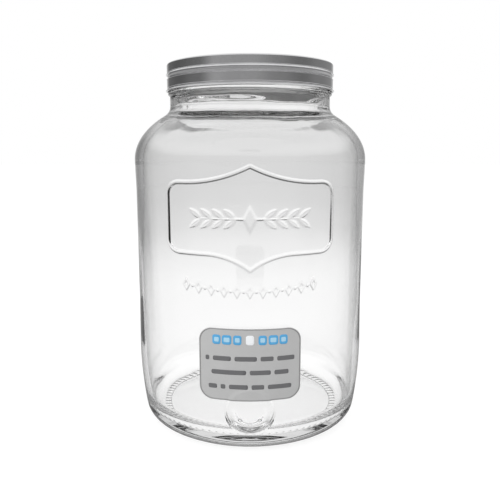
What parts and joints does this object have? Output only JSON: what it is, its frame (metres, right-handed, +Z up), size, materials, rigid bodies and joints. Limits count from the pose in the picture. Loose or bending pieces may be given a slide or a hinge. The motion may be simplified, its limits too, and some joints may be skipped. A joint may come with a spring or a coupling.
{
  "type": "glass storage jar",
  "caption": "Round wide-mouth glass storage jar, empty, with a moulded frame on its front, a plain screw-type steel lid resting on the rim and a small paper label.",
  "frame": {"origin": "centre of the foot ring, on the surface that the jar stands on", "axes": "+Z up along the jar's axis, the moulded frame and the label face -Y, +X to the right of the front"},
  "size_m": [0.165, 0.1659, 0.2523],
  "materials": {
    "clear_glass": "clear, smooth",
    "lid_steel": "satin, brushed round the skirt",
    "label_paper": "matt grey print"
  },
  "bodies": {
    "root": {"jar_glass": "clear_glass", "screw_lid": "lid_steel", "label": "label_paper"}
  },
  "joints": []
}
